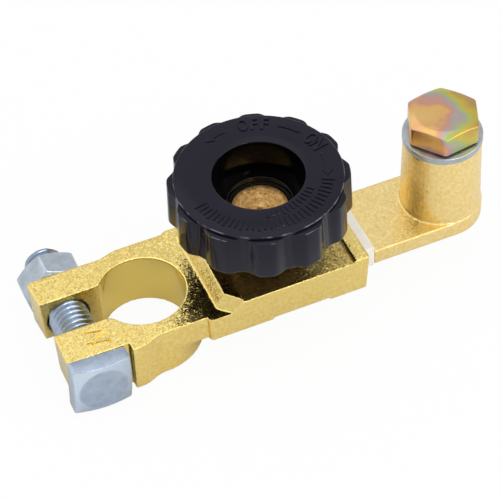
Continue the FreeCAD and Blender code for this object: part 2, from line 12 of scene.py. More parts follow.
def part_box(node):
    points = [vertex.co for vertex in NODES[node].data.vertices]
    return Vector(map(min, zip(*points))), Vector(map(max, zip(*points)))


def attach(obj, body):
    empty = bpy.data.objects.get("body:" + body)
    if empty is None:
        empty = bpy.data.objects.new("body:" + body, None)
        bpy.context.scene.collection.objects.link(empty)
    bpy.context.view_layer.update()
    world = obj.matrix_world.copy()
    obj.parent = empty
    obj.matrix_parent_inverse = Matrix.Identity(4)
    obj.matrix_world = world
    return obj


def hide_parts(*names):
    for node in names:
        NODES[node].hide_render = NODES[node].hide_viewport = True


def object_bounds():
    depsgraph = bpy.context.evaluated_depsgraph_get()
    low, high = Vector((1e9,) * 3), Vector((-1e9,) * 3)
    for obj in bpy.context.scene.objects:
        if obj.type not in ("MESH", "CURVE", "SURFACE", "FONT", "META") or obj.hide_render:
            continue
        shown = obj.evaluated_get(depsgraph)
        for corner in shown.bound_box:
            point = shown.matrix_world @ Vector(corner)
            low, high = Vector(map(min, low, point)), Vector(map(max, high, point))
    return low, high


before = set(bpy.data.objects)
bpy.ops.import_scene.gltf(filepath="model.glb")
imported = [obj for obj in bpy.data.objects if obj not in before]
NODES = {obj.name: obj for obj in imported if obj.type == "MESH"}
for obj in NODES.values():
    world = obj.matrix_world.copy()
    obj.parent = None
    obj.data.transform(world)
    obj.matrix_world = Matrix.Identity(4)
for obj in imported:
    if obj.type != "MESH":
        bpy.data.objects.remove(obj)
CAD_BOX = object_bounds()
MM = 0.001


def low(node):
    """A node's lowest corner in millimetres."""
    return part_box(node)[0] / MM


def high(node):
    """A node's highest corner in millimetres."""
    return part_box(node)[1] / MM


def middle(node):
    return (low(node) + high(node)) / 2


# Places read from the solids
STUD_X = middle("contact_stud").x
POST_X = middle("post_washer").x
CONTACT_TOP = high("contact_washer").z
KNOB_TOP = high("knob").z
HUB_BOTTOM = low("knob").z

# Places on the castings
CLAMP_TOP = 12.0
SEAT_TOP = 14.2
BORE_RADIUS = 8.5
CLAMP_BOLT_X = -14.0
CLAMP_BOLT_Z = 6.2
EAR_FACE = 11.2


# Camera: fitted to the photograph
CAMERA_AZIMUTH = -20.788
CAMERA_ELEVATION = 47.503
CAMERA_ROLL = -3.236
CAMERA_DISTANCE = 393.2
CAMERA_TARGET = Vector((21.215, -3.755, 17.424))
CAMERA_LENS = 147.47
SENSOR_WIDTH = 36.0
CLIP_START = 0.01


def link(name, data):
    """A new object of this name in the scene."""
    item = bpy.data.objects.new(name, data)
    bpy.context.scene.collection.objects.link(item)
    return item


def place_camera():
    azimuth, elevation = math.radians(CAMERA_AZIMUTH), math.radians(CAMERA_ELEVATION)
    roll = math.radians(CAMERA_ROLL)
    level = math.cos(elevation)
    back = Vector((math.sin(azimuth) * level, -math.cos(azimuth) * level, math.sin(elevation)))
    right = Vector((math.cos(azimuth), math.sin(azimuth), 0.0))
    up = right.cross(-back)
    right_rolled = right * math.cos(roll) + up * math.sin(roll)
    up_rolled = up * math.cos(roll) - right * math.sin(roll)
    camera = bpy.data.cameras.new("camera")
    camera.lens = CAMERA_LENS
    camera.sensor_width = SENSOR_WIDTH
    camera.clip_start = CLIP_START
    holder = link("camera", camera)
    turn = Matrix((right_rolled, up_rolled, back)).transposed()
    place = Matrix.Translation((CAMERA_TARGET + back * CAMERA_DISTANCE) * MM)
    holder.matrix_world = place @ turn.to_4x4()
    bpy.context.scene.camera = holder


# Node trees
MIX_COLOURS = (6, 7)
MIX_RESULT = 2
GRAIN_SMOOTHNESS = 0.15


class Nodes:
    """A node tree, with short ways to add nodes and join them."""

    def __init__(self, tree):
        self.tree = tree

    def add(self, kind, values=None, **settings):
        node = self.tree.nodes.new(kind)
        for name, value in settings.items():
            setattr(node, name, value)
        for name, value in (values or {}).items():
            self.feed(node, name, value)
        return node

    def feed(self, node, name, value):
        """Sets an input to a value, or joins it to another node's output."""
        if isinstance(value, bpy.types.NodeSocket):
            self.tree.links.new(value, node.inputs[name])
        else:
            node.inputs[name].default_value = value

    def ramp(self, value, *stops):
        """Colours along a value, from (position, colour) pairs."""
        node = self.add("ShaderNodeValToRGB", {"Fac": value})
        elements = node.color_ramp.elements
        while len(elements) < len(stops):
            elements.new(0.5)
        for element, (position, colour) in zip(elements, stops):
            element.position = position
            element.color = (*colour, 1.0)
        return node.outputs["Color"]

    def greys(self, value, *stops):
        """Greys along a value, from (position, grey) pairs."""
        return self.ramp(value, *((position, (grey,) * 3) for position, grey in stops))

    def mix(self, amount, first, second):
        """From the first colour at nought to the second at one."""
        node = self.add("ShaderNodeMix", {"Factor": amount}, data_type="RGBA")
        for index, value in zip(MIX_COLOURS, (first, second)):
            is_socket = isinstance(value, bpy.types.NodeSocket)
            self.feed(node, index, value if is_socket else (*value, 1.0))
        return node.outputs[MIX_RESULT]

    def camera_ray(self):
        """One where the camera looks straight at a point, and nought in light and reflections."""
        return self.add("ShaderNodeLightPath").outputs["Is Camera Ray"]


class Shader(Nodes):
    """A new material's node tree, with the patterns that its finish is made of."""

    def __init__(self, name):
        self.material = bpy.data.materials.new(name)
        self.material.use_nodes = True
        super().__init__(self.material.node_tree)
        self.surface = self.tree.nodes["Principled BSDF"]

    def set(self, **values):
        for name, value in values.items():
            self.feed(self.surface, name.replace("_", " "), value)

    def math(self, operation, first, second=0.0, clamp=False):
        node = self.add("ShaderNodeMath", operation=operation, use_clamp=clamp)
        self.feed(node, 0, first)
        self.feed(node, 1, second)
        return node.outputs[0]

    def plus(self, first, second):
        return self.math("ADD", first, second)

    def minus(self, first, second):
        return self.math("SUBTRACT", first, second)

    def times(self, first, second):
        return self.math("MULTIPLY", first, second)

    def rise(self, value, start, slope):
        """Nought up to the start, then up to one with this slope."""
        return self.math("MULTIPLY", self.minus(value, start), slope, clamp=True)

    def near(self, value, target, reach):
        """One where the value is within this reach of the target."""
        return self.math("LESS_THAN", self.math("ABSOLUTE", self.minus(value, target)), reach)

    def vector(self, operation, first, second=None):
        node = self.add("ShaderNodeVectorMath", operation=operation)
        self.feed(node, 0, first)
        if second is not None:
            self.feed(node, 1, second)
        return node

    def here(self):
        """The point on the object, in metres."""
        return self.add("ShaderNodeTexCoord").outputs["Object"]

    def place(self, per_mm, stretch=(1.0, 1.0, 1.0)):
        """The point on the object in steps of so many to the millimetre."""
        scale = [per_mm * part / MM for part in stretch]
        return self.add("ShaderNodeMapping", {"Vector": self.here(), "Scale": scale}).outputs["Vector"]

    def noise(self, per_mm, detail=2.0, stretch=(1.0, 1.0, 1.0), roughness=0.5):
        place = self.place(per_mm, stretch)
        values = {"Vector": place, "Scale": 1.0, "Detail": detail, "Roughness": roughness}
        return self.add("ShaderNodeTexNoise", values).outputs["Fac"]

    def height(self):
        """The height on the object in millimetres."""
        split = self.add("ShaderNodeSeparateXYZ", {"Vector": self.here()})
        return self.times(split.outputs["Z"], 1.0 / MM)

    def radius(self, axis_x=0.0):
        """The distance from the upright axis at this X, in millimetres."""
        return self.distance((axis_x, 0.0, 0.0), (1.0, 1.0, 0.0))

    def distance(self, centre, along):
        """The distance from this point in millimetres, counted along the directions given as one."""
        away = self.vector("SUBTRACT", self.here(), [part * MM for part in centre])
        flat = self.vector("MULTIPLY", away.outputs[0], [part / MM for part in along])
        return self.vector("LENGTH", flat.outputs[0]).outputs["Value"]

    def bump(self, height, depth_mm, strength, under=None):
        """The normal of a relief this deep, laid over the normal underneath."""
        values = {"Height": height, "Distance": depth_mm * MM, "Strength": strength}
        if under is not None:
            values["Normal"] = under
        return self.add("ShaderNodeBump", values).outputs["Normal"]

    def grains(self, per_mm, tilt, under):
        """A normal tipped at random from grain to grain, which makes a cast surface sparkle."""
        values = {"Vector": self.place(per_mm), "Scale": 1.0}
        cells = self.add("ShaderNodeTexVoronoi", values, feature="SMOOTH_F1")
        self.feed(cells, "Smoothness", GRAIN_SMOOTHNESS)
        shift = self.vector("SUBTRACT", cells.outputs["Color"], (0.5, 0.5, 0.5))
        scaled = self.vector("SCALE", shift.outputs[0])
        self.feed(scaled, "Scale", tilt)
        total = self.vector("ADD", scaled.outputs[0], under)
        return self.vector("NORMALIZE", total.outputs[0]).outputs[0]


# Plated brass. The bore and the milled seat are told by their places on the casting.
BRASS_TONES = ((0.32, (0.84, 0.61, 0.17)), (0.52, (0.90, 0.70, 0.24)), (0.7, (0.94, 0.78, 0.34)))
BORE_COLOUR = (1.0, 0.82, 0.28)
BORE_MARGIN = 0.25
BORE_POLISH = 0.88
SEAT_MARGIN = 0.15
TRAY_END_RADIUS = 43.0
END_BAR_RADIUS = 31.0
END_BAR_BLEND = 5.0


def plated_brass(name, satin=0.0, pale=0.0, depth=1.0):
    """Bright plating over a fine cast grain. The bore is smooth and the milled seat is duller.

    Satin adds to its roughness, pale adds to its blue and depth scales its tone.
    """
    shader = Shader(name)
    radius = shader.radius()
    bore = shader.math("LESS_THAN", radius, BORE_RADIUS + BORE_MARGIN)
    on_tray = shader.math("LESS_THAN", radius, TRAY_END_RADIUS)
    seat = shader.times(shader.near(shader.height(), SEAT_TOP, SEAT_MARGIN), on_tray)
    end_bar = shader.rise(radius, END_BAR_RADIUS, 1.0 / END_BAR_BLEND)

    tones = [(position, [part * depth for part in (red, green, blue + pale)])
             for position, (red, green, blue) in BRASS_TONES]
    plating = shader.ramp(shader.noise(1.4, detail=4.0, roughness=0.6), *tones)
    colour = shader.mix(bore, plating, BORE_COLOUR)

    cast = shader.minus(1.0, shader.times(bore, BORE_POLISH))
    swells = shader.bump(shader.noise(0.35, detail=1.0), 0.05, 0.35)
    peel = shader.bump(shader.noise(2.2, detail=3.0), 0.02, shader.times(cast, 0.45), swells)
    lines = shader.noise(3.5, detail=3.0, stretch=(1.6, 0.06, 1.0))
    milled = shader.bump(lines, 0.03, shader.times(seat, 0.5), peel)
    patchy = shader.greys(shader.noise(1.8, detail=3.0), (0.42, 0.3), (0.62, 1.0))
    loose = shader.plus(shader.times(end_bar, 0.42), 0.22)
    coarse = shader.plus(shader.times(seat, loose), 0.28)
    tilt = shader.times(shader.times(patchy, cast), coarse)
    normal = shader.grains(4.2, tilt, milled)

    worn = shader.greys(shader.noise(0.8, detail=4.0), (0.35, 0.14 + satin), (0.7, 0.23 + satin))
    duller = shader.plus(shader.times(end_bar, 0.16), 0.12)
    rough = shader.plus(worn, shader.times(seat, duller))
    shader.set(Base_Color=colour, Metallic=1.0, Roughness=rough, Normal=normal)
    return shader.material


# Turned brass: tones of the stud's end in the recess, and of what is under the knob
BRIGHT_BRASS = ((0.36, (0.46, 0.22, 0.06)), (0.5, (0.70, 0.40, 0.13)), (0.62, (0.86, 0.58, 0.25)))
BROWN_BRASS = ((0.3, (0.055, 0.030, 0.015)), (0.7, (0.12, 0.072, 0.034)))
TURNING_PER_MM = 3.0


def turned_brass():
    """Brass with the marks of turning. Below the knob's hub it is a darker, duller brown."""
    shader = Shader("turned_brass")
    out = shader.times(shader.radius(STUD_X), TURNING_PER_MM)
    along = shader.add("ShaderNodeCombineXYZ", {"X": out}).outputs[0]
    rings = shader.add("ShaderNodeTexNoise", {"Vector": along, "Scale": 1.0, "Detail": 4.0}).outputs["Fac"]
    stains = shader.noise(0.9, detail=5.0, roughness=0.65)
    blend = shader.plus(shader.times(stains, 0.55), shader.times(rings, 0.45))
    above = shader.math("GREATER_THAN", shader.height(), HUB_BOTTOM)
    colour = shader.mix(above, shader.ramp(stains, *BROWN_BRASS), shader.ramp(blend, *BRIGHT_BRASS))
    normal = shader.grains(2.6, 0.10, shader.bump(rings, 0.05, 0.6))
    rough = shader.minus(0.48, shader.times(above, 0.10))
    shader.set(Base_Color=colour, Metallic=1.0, Roughness=rough, Normal=normal)
    return shader.material


# Zinc plating. On the clamp bolt's face a paler colour outside the chamfer circle is a painted highlight.
DARK_ZINC = 0.82
FACE_CIRCLE = 4.7
FACE_CIRCLE_SLOPE = 2.2
# Where the painted highlight on the clamp bolt's face is strongest, and how far out it fades
HIGHLIGHT_CORNER = (CLAMP_BOLT_X - 5.5, 0.0, CLAMP_BOLT_Z + 5.8)
HIGHLIGHT_REACH = 16.0
HIGHLIGHT_SLOPE = 0.085
IN_FACE = (1.0, 0.0, 1.0)


def painted_chamfer_highlight(shader):
    """How much painted highlight the clamp bolt's face gets outside its chamfer circle, most at the corner
    by the gap.
    """
    reach = shader.distance((CLAMP_BOLT_X, 0.0, CLAMP_BOLT_Z), IN_FACE)
    outside = shader.rise(reach, FACE_CIRCLE, FACE_CIRCLE_SLOPE)
    spare = shader.minus(HIGHLIGHT_REACH, shader.distance(HIGHLIGHT_CORNER, IN_FACE))
    fading = shader.math("MULTIPLY", spare, HIGHLIGHT_SLOPE, clamp=True)
    normal = shader.add("ShaderNodeNewGeometry").outputs["Normal"]
    facing = shader.add("ShaderNodeSeparateXYZ", {"Vector": normal}).outputs["Y"]
    on_face = shader.math("LESS_THAN", facing, -0.8)
    return shader.times(shader.times(outside, fading), on_face)


def zinc(name, tint, satin=0.0, corners=None):
    """Bright bluish zinc plating with faint rolling and barrel marks. Corners, when given, is the colour of
    a painted highlight on the clamp bolt's face.
    """
    shader = Shader(name)
    patches = shader.noise(0.45, detail=4.0, roughness=0.6)
    dark = [part * DARK_ZINC for part in tint]
    colour = shader.ramp(patches, (0.35, dark), (0.65, tint))
    if corners:
        # Painted highlight: the paler colour on the clamp bolt's face outside its chamfer circle
        colour = shader.mix(painted_chamfer_highlight(shader), colour, corners)
    marks = shader.bump(shader.noise(2.6, detail=3.0, stretch=(1.0, 0.25, 1.0)), 0.010, 0.35)
    normal = shader.bump(shader.noise(0.5), 0.03, 0.25, marks)
    rough = shader.greys(patches, (0.3, 0.20 + satin), (0.7, 0.28 + satin))
    shader.set(Base_Color=colour, Metallic=1.0, Roughness=rough, Normal=normal)
    return shader.material


# Yellow chromate: the colours of its film, by distance from the film's centre and by drift
FILM_CENTRE_X = POST_X - 3.8
FILM_PER_MM = 0.080
FILM_DRIFT = 0.9
FILM_COLOURS = (
    (0.10, (0.78, 0.55, 0.24)),
    (0.32, (0.78, 0.47, 0.17)),
    (0.42, (0.66, 0.33, 0.25)),
    (0.52, (0.46, 0.42, 0.40)),
    (0.61, (0.46, 0.54, 0.18)),
    (0.72, (0.64, 0.50, 0.09)),
    (0.90, (0.52, 0.32, 0.13)),
)


def yellow_zinc():
    """Yellow chromate. Its thin film goes from orange through pink and grey to green and yellow."""
    shader = Shader("yellow_zinc")
    drift = shader.noise(0.16, detail=2.5, roughness=0.55)
    away = shader.times(shader.radius(FILM_CENTRE_X), FILM_PER_MM)
    film = shader.plus(away, shader.times(shader.minus(drift, 0.5), FILM_DRIFT))
    colour = shader.ramp(film, *FILM_COLOURS)
    normal = shader.bump(shader.noise(1.6, detail=4.0, stretch=(0.5, 1.0, 0.3)), 0.015, 0.5)
    shader.set(Base_Color=colour, Metallic=1.0, Roughness=0.30, Normal=normal)
    return shader.material


def white_nylon():
    shader = Shader("white_nylon")
    mottle = shader.noise(0.5, detail=3.0)
    colour = shader.ramp(mottle, (0.3, (0.80, 0.78, 0.74)), (0.7, (0.88, 0.87, 0.84)))
    normal = shader.bump(shader.noise(3.0), 0.012, 0.5)
    shader.set(Base_Color=colour, Roughness=0.42, Normal=normal)
    shader.set(Subsurface_Weight=0.25, Subsurface_Scale=0.0008)
    return shader.material


# Black plastic, with painted highlights along the knob's edges and painted shade in its recess
RECESS_TOP_RADIUS = 8.85
KNOB_DISC_RADIUS = 16.25
LOBE_TOP_RADIUS = 17.42
LEDGE = KNOB_TOP - 0.65
FLOW_COLOURS = ((0.3, (0.0050, 0.0045, 0.0120)), (0.7, (0.0070, 0.0062, 0.0165)))
# Near black painted inside the knob's recess: painted shade
RECESS_SHADE_COLOUR = (0.0015, 0.0012, 0.0012)
# Paler grey painted along the rim of the knob's disc and the lobes' ledges: a painted highlight
EDGE_HIGHLIGHT_COLOUR = (0.13, 0.12, 0.14)


def painted_edge_highlights(shader):
    """The share of painted highlight along the edges of the knob's disc and of its lobes' ledges."""
    radius, height = shader.radius(STUD_X), shader.height()
    on_rim = shader.near(radius, KNOB_DISC_RADIUS - 0.06, 0.10)
    rim = shader.times(on_rim, shader.near(height, KNOB_TOP - 0.10, 0.14))
    on_lobe = shader.near(radius, LOBE_TOP_RADIUS, 0.14)
    ledge = shader.times(on_lobe, shader.near(height, LEDGE, 0.10))
    broken = shader.greys(shader.noise(0.5, detail=4.0), (0.46, 0.05), (0.58, 1.0))
    return shader.times(shader.math("MAXIMUM", rim, ledge), broken)


def black_plastic():
    """Glossy moulded black, with the faint flow marks and dust of a moulding. A paler grey along the edges
    of the disc and the lobes' ledges is a painted highlight, and the near black in the recess is painted
    shade.
    """
    shader = Shader("black_plastic")
    outside = shader.math("GREATER_THAN", shader.radius(STUD_X), RECESS_TOP_RADIUS + 0.1)
    flow = shader.ramp(shader.noise(0.12, detail=3.0), *FLOW_COLOURS)
    # Painted shade: near black inside the recess, the flow colours outside it
    colour = shader.mix(outside, RECESS_SHADE_COLOUR, flow)
    # Painted highlight: paler grey along the rim of the disc and the lobes' ledges
    colour = shader.mix(painted_edge_highlights(shader), colour, EDGE_HIGHLIGHT_COLOUR)
    peel = shader.bump(shader.noise(0.7), 0.02, 0.18)
    normal = shader.bump(shader.noise(6.0), 0.003, 0.3, peel)
    rough = shader.greys(shader.noise(0.7, detail=5.0), (0.3, 0.09), (0.7, 0.15))
    shader.set(Base_Color=colour, Roughness=rough, Normal=normal, Specular_IOR_Level=0.22)
    return shader.material


MATERIALS = {
    "plated_brass": plated_brass("plated_brass", depth=0.94),
    "satin_brass": plated_brass("satin_brass", satin=0.17, pale=0.06),
    "turned_brass": turned_brass(),
    # zinc_plate's corners colour is a painted highlight on the clamp bolt's face
    "zinc_plate": zinc("zinc_plate", (0.44, 0.52, 0.64), corners=(0.60, 0.69, 0.80)),
    "nut_zinc": zinc("nut_zinc", (0.56, 0.63, 0.71)),
    "washer_zinc": zinc("washer_zinc", (0.50, 0.53, 0.56), satin=0.16),
    "yellow_zinc": yellow_zinc(),
    "white_nylon": white_nylon(),
    "black_plastic": black_plastic(),
}


def dress(piece, body, slot, replaced=None, material=None):
    """Gives a piece its material, the body it moves with and the node it stands for."""
    piece.data.materials.clear()
    piece.data.materials.append(MATERIALS[material or slot])
    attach(piece, body)
    if replaced:
        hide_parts(replaced)


# Castings and insulation: node, slot, material, voxel, rounds of smoothing, share of faces kept
REMESHED = (
    ("switch_body", "plated_brass", "plated_brass", 0.16, 8, 0.35),
    ("cable_arm", "plated_brass", "satin_brass", 0.16, 8, 0.35),
    ("insulator", "white_nylon", "white_nylon", 0.17, 3, 0.5),
    ("bottom_plate", "white_nylon", "white_nylon", 0.15, 2, 0.4),
)
WELD = 0.0005


def apply_modifiers(piece):
    """Keeps the piece's mesh as its modifiers leave it."""
    graph = bpy.context.evaluated_depsgraph_get()
    final = bpy.data.meshes.new_from_object(piece.evaluated_get(graph))
    piece.modifiers.clear()
    piece.data = final


def remeshed_copy(node, voxel, smoothing, keep):
    """The node's own solid with its sharp edges worn round, as a casting or moulding has them."""
    mesh = NODES[node].data.copy()
    form = bmesh.new()
    form.from_mesh(mesh)
    bmesh.ops.remove_doubles(form, verts=form.verts, dist=WELD * MM)
    form.to_mesh(mesh)
    form.free()
    piece = link(node + "_look", mesh)
    grid = piece.modifiers.new("grid", "REMESH")
    grid.mode = "VOXEL"
    grid.voxel_size = voxel * MM
    wear = piece.modifiers.new("wear", "SMOOTH")
    wear.factor = 0.5
    wear.iterations = smoothing
    thin = piece.modifiers.new("thin", "DECIMATE")
    thin.ratio = keep
    apply_modifiers(piece)
    piece.data.shade_smooth()
    return piece


def make_castings_and_insulation():
    for node, slot, material, voxel, smoothing, keep in REMESHED:
        dress(remeshed_copy(node, voxel, smoothing, keep), "switch", slot, node, material)


# Forms drawn from profiles
RING_COLUMNS = 128
ROUNDING_STEPS = 3
SMOOTH_ANGLE = 30.0


def rounded(corners):
    """Profile points from (radius, height, rounding) corners, with each rounding as a short curve."""
    points = []
    for index, (radius, height, rounding) in enumerate(corners):
        here = Vector((radius, height))
        if not rounding:
            points.append(here)
            continue
        before = Vector(corners[index - 1][:2]) - here
        after = Vector(corners[(index + 1) % len(corners)][:2]) - here
        reach = min(rounding, 0.45 * before.length, 0.45 * after.length)
        start = here + before.normalized() * reach
        end = here + after.normalized() * reach
        for step in range(ROUNDING_STEPS + 1):
            share = step / ROUNDING_STEPS
            first = start.lerp(here, share)
            second = here.lerp(end, share)
            points.append(first.lerp(second, share))
    return points


def polar_form(profile_at, columns, x=0.0, cyclic=False):
    """A skin round an upright axis at this X. The profile may change from angle to angle."""
    form = bmesh.new()
    strips = []
    for column in range(columns):
        angle = 2 * math.pi * column / columns
        side = Vector((math.cos(angle), math.sin(angle), 0.0))
        strip = []
        for radius, height in profile_at(angle):
            strip.append(form.verts.new((side * radius + Vector((x, 0.0, height))) * MM))
        strips.append(strip)
    count = len(strips[0])
    for column, strip in enumerate(strips):
        following = strips[(column + 1) % columns]
        for index in range(count if cyclic else count - 1):
            above = (index + 1) % count
            form.faces.new((strip[index], following[index], following[above], strip[above]))
    return form


def turned_form(profile, x, cyclic=True):
    """A skin with the same profile all round."""
    return polar_form(lambda angle: profile, RING_COLUMNS, x, cyclic)


def finish_form(form, name, smooth_angle=SMOOTH_ANGLE, place=Matrix.Identity(4)):
    """A piece of this name from the form, moved to its place."""
    bmesh.ops.remove_doubles(form, verts=form.verts, dist=WELD * MM)
    bmesh.ops.recalc_face_normals(form, faces=form.faces)
    mesh = bpy.data.meshes.new(name)
    form.to_mesh(mesh)
    form.free()
    mesh.shade_smooth()
    mesh.set_sharp_from_angle(angle=math.radians(smooth_angle))
    mesh.transform(place)
    return link(name, mesh)


# Threads
M8_RADIUS = 4.0
M8_PITCH = 1.25
THREAD_DEPTH = 0.61
THREAD_FLAT = 0.1
THREAD_STEPS = 12
THREAD_COLUMNS = 64
TIP_CHAMFER = 0.8
SHANK_OVERLAP = 0.5


def thread_radius(phase, radius, pitch):
    """The radius at a share of the pitch, with narrow flats on the crests and roots."""
    ridge = (1.0 - abs(2.0 * phase - 1.0) - THREAD_FLAT) / (1.0 - 2.0 * THREAD_FLAT)
    return radius - THREAD_DEPTH * pitch * (1.0 - min(1.0, max(0.0, ridge)))


def add_thread(form, radius, pitch, start, tip):
    """A closed right-hand threaded rod along +Z. Its rows of points climb with the thread."""
    rows = int((tip - start) / pitch * THREAD_STEPS) + THREAD_STEPS + 1
    strips = []
    for column in range(THREAD_COLUMNS):
        turn = column / THREAD_COLUMNS
        side = Vector((math.cos(2 * math.pi * turn), math.sin(2 * math.pi * turn), 0.0))
        strip = []
        for row in range(rows):
            height = start + pitch * (row / THREAD_STEPS + turn - 1.0)
            height = min(tip, max(start, height))
            chamfer = radius - max(0.0, TIP_CHAMFER - (tip - height))
            reach = min(thread_radius(row / THREAD_STEPS % 1.0, radius, pitch), chamfer)
            if height == start:
                reach = radius - THREAD_DEPTH * pitch
            strip.append(form.verts.new((side * reach + Vector((0.0, 0.0, height))) * MM))
        strips.append(strip)
    last = rows - 1
    for column, strip in enumerate(strips):
        seam = THREAD_STEPS if column == THREAD_COLUMNS - 1 else 0
        following = strips[(column + 1) % THREAD_COLUMNS]
        for row in range(last):
            lower, upper = min(last, row + seam), min(last, row + 1 + seam)
            if lower == upper:
                form.faces.new((strip[row], following[last], strip[row + 1]))
            else:
                form.faces.new((strip[row], following[lower], following[upper], strip[row + 1]))
    form.faces.new([strip[-1] for strip in strips])
    form.faces.new([strip[0] for strip in reversed(strips)])


# Heads, nut and washer of the fasteners
CLAMP_HEAD = {
    "width": 11.6, "sides": 4, "turn": 48.0, "head": 4.0,
    "face": 0.80, "crown": 0.06, "chamfer": 17.5, "foot": 0.0}
POST_HEAD = {
    "width": 13.2, "sides": 6, "turn": -7.9, "head": 5.3,
    "face": 0.85, "crown": 0.05, "chamfer": 20.0, "foot": 0.45}
HEAD_COLUMNS = 144
CORNER_BREAK = 0.985
FACE_STEPS = (0.0, 0.2, 0.4, 0.6, 0.8)
CROWN_POWER = 2.6
CROWN_AT_CORNER = 0.9
FACE_EDGE = 0.25
CHAMFER_EDGE = 0.22
FOOT_EDGE = 0.2
FOOT_CIRCLE = 0.9

NUT = {"width": 12.0, "turn": -102.0, "height": 5.8}
NUT_CHAMFER = 30.0
NUT_FACE = 0.95
NUT_BORE_RADIUS = M8_RADIUS + 0.05
NUT_COUNTERSINK = 0.5

POST_WASHER_RADIUS = M8_RADIUS + 0.2
POST_WASHER_EDGE = 0.3
WASHER_BORE_EDGE = 0.1


def flats_radius(angle, width, sides, turn):
    """The radius at this angle of a bar with this many flats, with its corners just broken."""
    sector = 2 * math.pi / sides
    off = (angle - math.radians(turn)) % sector - sector / 2
    corner = width / 2 / math.cos(sector / 2)
    return min(width / 2 / math.cos(off), corner * CORNER_BREAK)


def head_profile(angle, width, sides, turn, head, face, crown, chamfer, foot):
    """A bolt's head, drawn face down below zero. Its face sinks by the crown towards the chamfer.
    The foot is the round step that it stands on."""
    flat = width / 2 * face
    side = flats_radius(angle, width, sides, turn)
    rise = (side - flat) * math.tan(math.radians(chamfer))
    foot_radius = width / 2 * FOOT_CIRCLE
    crowned = [(flat * share, crown * share ** CROWN_POWER - head, 0.0) for share in FACE_STEPS]
    return rounded(crowned + [
        (flat, crown - head, FACE_EDGE),
        (side, crown * CROWN_AT_CORNER + rise - head, CHAMFER_EDGE),
        (side, -foot, FOOT_EDGE),
        (foot_radius, -foot, 0.0),
        (foot_radius, 0.0, 0.0),
        (0.0, 0.0, 0.0),
    ])


def bolt_form(length, head):
    """Head down: the head below zero, the threaded shank above."""
    form = polar_form(lambda angle: head_profile(angle, **head), HEAD_COLUMNS)
    add_thread(form, M8_RADIUS, M8_PITCH, -SHANK_OVERLAP, length)
    return form


def nut_profile(angle, width, turn, height):
    flat = width / 2 * NUT_FACE
    side = flats_radius(angle, width, 6, turn)
    rise = (side - flat) * math.tan(math.radians(NUT_CHAMFER))
    mouth = NUT_BORE_RADIUS + NUT_COUNTERSINK
    return rounded([
        (NUT_BORE_RADIUS, NUT_COUNTERSINK, 0.0),
        (mouth, 0.0, 0.1),
        (flat, 0.0, 0.4),
        (side, rise, 0.2),
        (side, height - rise, 0.2),
        (flat, height, 0.4),
        (mouth, height, 0.1),
        (NUT_BORE_RADIUS, height - NUT_COUNTERSINK, 0.0),
    ])


def washer_profile(node, inner, edge):
    """A flat ring that fills the node's height and width, its upper edge more rounded."""
    bottom, top, outer = low(node).z, high(node).z, high(node).y
    return rounded([
        (inner, bottom, WASHER_BORE_EDGE),
        (inner, top, WASHER_BORE_EDGE),
        (outer, top, edge),
        (outer, bottom, edge * 0.7),
    ])


def along_y(start):
    """Turns what was drawn along +Z so that it points to +Y from this Y, on the clamp bolt's axis."""
    place = Matrix.Translation(Vector((CLAMP_BOLT_X, start, CLAMP_BOLT_Z)) * MM)
    return place @ Matrix.Rotation(math.radians(-90.0), 4, "X")


def upside_down(x, height):
    """Turns what was drawn along +Z so that it points down from this height."""
    return Matrix.Translation(Vector((x, 0.0, height)) * MM) @ Matrix.Rotation(math.pi, 4, "X")


def make_clamp_bolt():
    form = bolt_form(high("clamp_bolt").y + EAR_FACE, CLAMP_HEAD)
    piece = finish_form(form, "square_head_bolt", place=along_y(-EAR_FACE))
    dress(piece, "switch", "zinc_plate", "clamp_bolt")


def make_clamp_nut():
    form = polar_form(lambda angle: nut_profile(angle, **NUT), HEAD_COLUMNS, cyclic=True)
    piece = finish_form(form, "hexagon_nut", place=along_y(EAR_FACE))
    dress(piece, "switch", "zinc_plate", "clamp_nut", "nut_zinc")


def make_post_bolt():
    seat = high("post_washer").z
    form = bolt_form(seat - low("post_bolt").z, POST_HEAD)
    piece = finish_form(form, "hexagon_bolt", place=upside_down(POST_X, seat))
    dress(piece, "switch", "yellow_zinc", "post_bolt")


def make_post_washer():
    profile = washer_profile("post_washer", POST_WASHER_RADIUS, POST_WASHER_EDGE)
    piece = finish_form(turned_form(profile, POST_X), "plain_washer")
    dress(piece, "switch", "zinc_plate", "post_washer", "washer_zinc")


# The contact stud and its washer. The turned end: radius, depth below the top, rounding.
STUD_THREAD_RADIUS = 5.0
STUD_THREAD_PITCH = 1.5
STUD_END_RADIUS = 5.6
STUD_EDGE = 0.25
STUD_END = ((5.6, 0.0, 0.4), (4.4, 0.10, 0.3), (2.4, 0.30, 0.3), (0.7, 0.36, 0.2), (0.0, 0.55, 0.0))
CONTACT_WASHER_RADIUS = STUD_THREAD_RADIUS + 0.1
CONTACT_WASHER_EDGE = 0.25


def stud_head_profile():
    """The stud's collar, and the end that stands bare in the knob's recess."""
    collar, top = high("contact_stud").y, high("contact_stud").z
    return rounded([
        (0.0, CONTACT_TOP, 0.0),
        (collar, CONTACT_TOP, STUD_EDGE),
        (collar, HUB_BOTTOM, STUD_EDGE),
        (STUD_END_RADIUS, HUB_BOTTOM, 0.0),
    ] + [(radius, top - depth, rounding) for radius, depth, rounding in STUD_END])


def make_stud():
    root = CONTACT_TOP + SHANK_OVERLAP
    thread = bmesh.new()
    add_thread(thread, STUD_THREAD_RADIUS, STUD_THREAD_PITCH, 0.0, root - low("contact_stud").z)
    bmesh.ops.transform(thread, matrix=upside_down(STUD_X, root), verts=thread.verts)
    shank = bpy.data.meshes.new("shank")
    thread.to_mesh(shank)
    thread.free()
    form = turned_form(stud_head_profile(), STUD_X, cyclic=False)
    form.from_mesh(shank)
    dress(finish_form(form, "stud"), "knob", "turned_brass", "contact_stud")


def make_contact_washer():
    profile = washer_profile("contact_washer", CONTACT_WASHER_RADIUS, CONTACT_WASHER_EDGE)
    piece = finish_form(turned_form(profile, STUD_X), "brass_washer")
    dress(piece, "washer", "turned_brass", "contact_washer")


